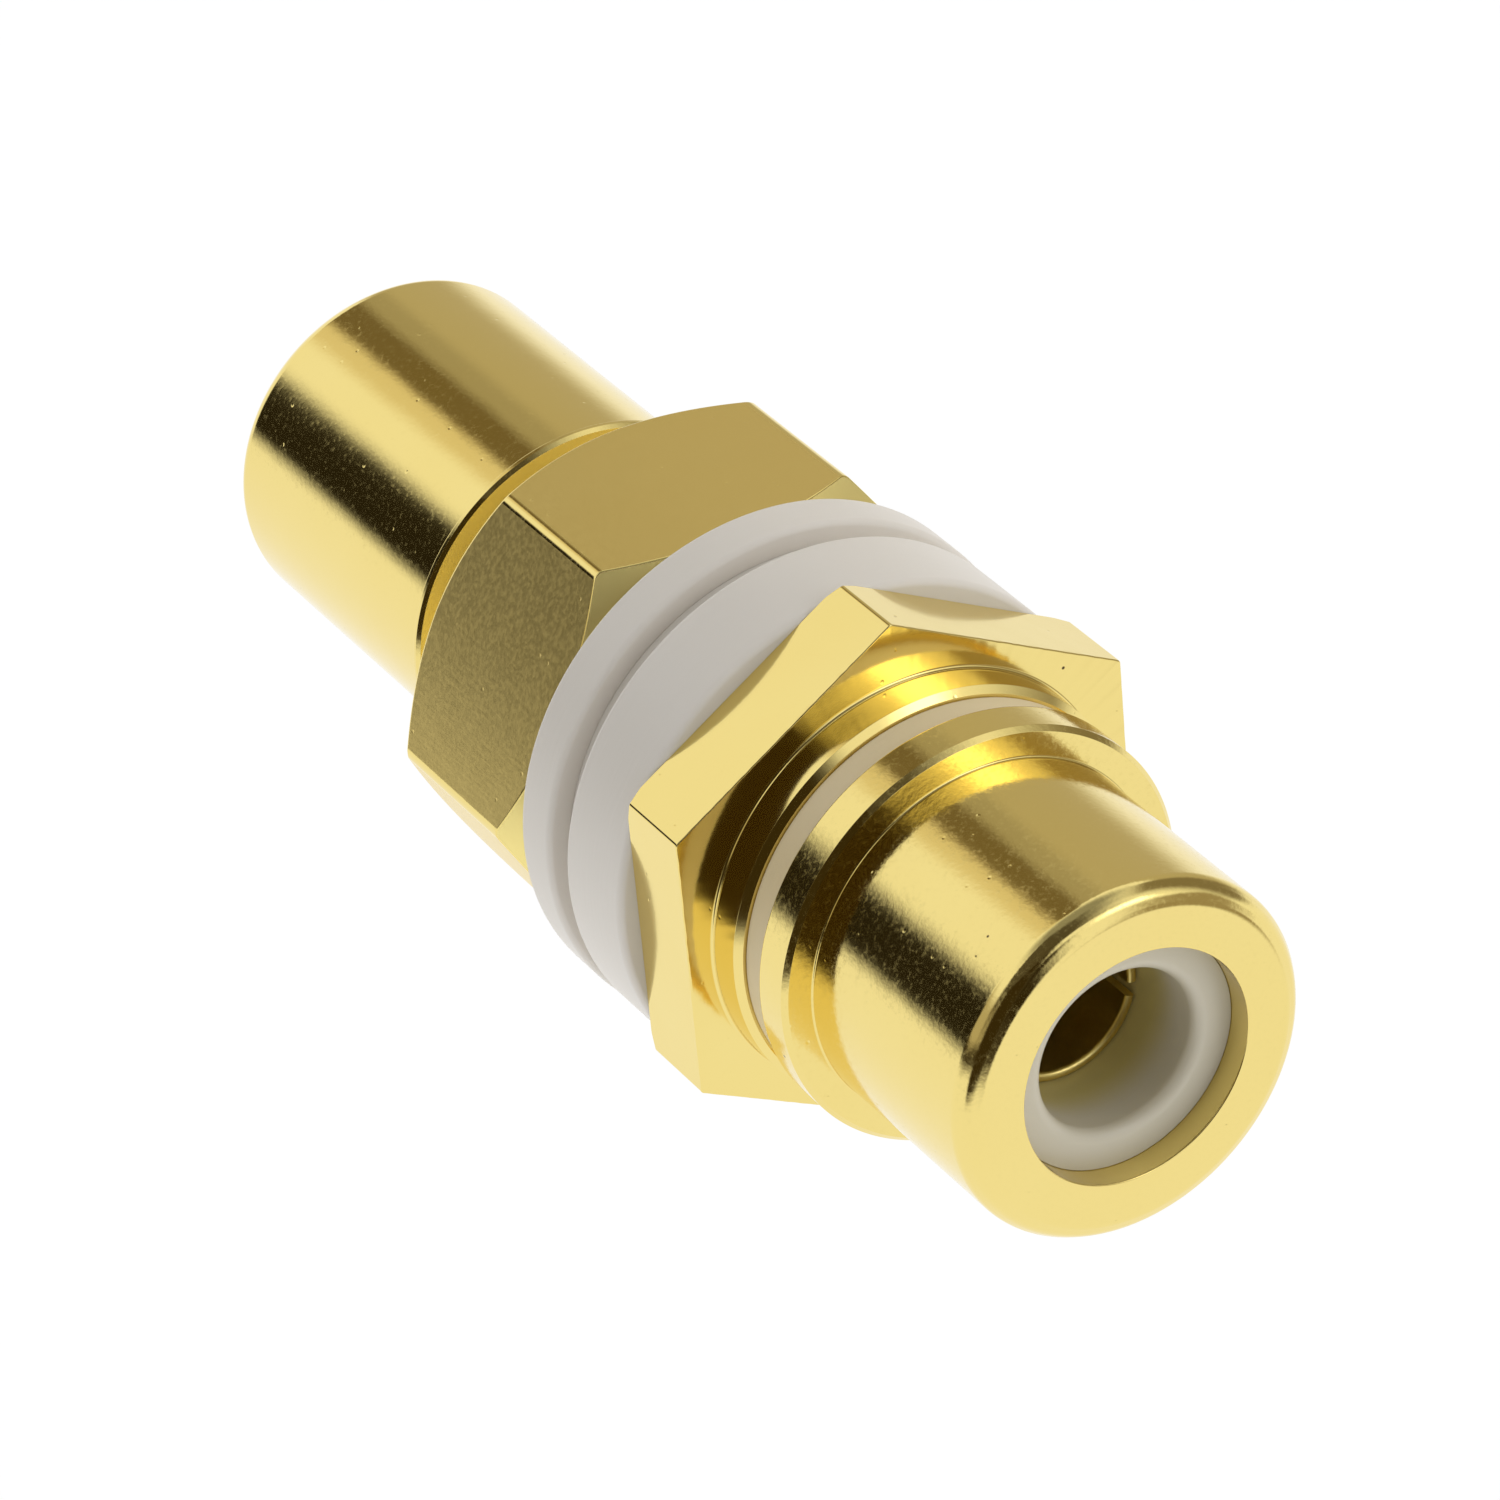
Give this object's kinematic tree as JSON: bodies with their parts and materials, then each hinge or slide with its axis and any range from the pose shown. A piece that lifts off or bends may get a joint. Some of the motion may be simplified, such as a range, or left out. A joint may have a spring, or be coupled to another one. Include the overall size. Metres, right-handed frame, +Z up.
{
  "type": "rca socket coupler",
  "caption": "Gold-plated panel-mount phono coupler: a hexagon body with a socket at each end, insulating washers and a nut that clamps it in a panel hole.",
  "frame": {"origin": "on the axis, at the front face of the flat washer, where the panel bears", "axes": "-Y along the axis out of the front mouth, which faces the user; +Z up, square to a flat of the body's hexagon"},
  "size_m": [0.0126, 0.0308, 0.0126],
  "materials": {
    "gold_barrel": "gold plate on turned brass, bright",
    "gold_body": "gold plate on turned brass, bright, with fine scratches on the hexagon",
    "gold_nut": "gold plate on brass, bright",
    "gold_contact": "gold plate on spring brass, bright",
    "pale_ring": "satin off-white plastic",
    "pale_washer": "satin off-white plastic",
    "pale_insulator": "satin off-white plastic, slightly translucent"
  },
  "bodies": {
    "shell": {"front_shell": "gold_barrel", "main_body": "gold_body", "colour_ring": "pale_ring", "flat_washer": "pale_washer", "front_insulator": "pale_insulator", "rear_insulator": "pale_insulator", "centre_contact": "gold_contact"},
    "washer": {"shoulder_washer": "pale_washer"},
    "nut": {"hex_nut": "gold_nut"}
  },
  "joints": [
    {"name": "nut_travel", "type": "slide", "parent": "shell", "child": "washer", "axis": [0, -1, 0], "range_m": [0, 0.0015]},
    {"name": "nut_turn", "type": "hinge", "parent": "washer", "child": "nut", "pos_m": [0, 0, 0], "axis": [0, -1, 0], "range_deg": [0, 1080]}
  ],
  "couplings": [
    {"joint": "nut_turn", "follows": "nut_travel", "rad_per_m": 12566}
  ]
}
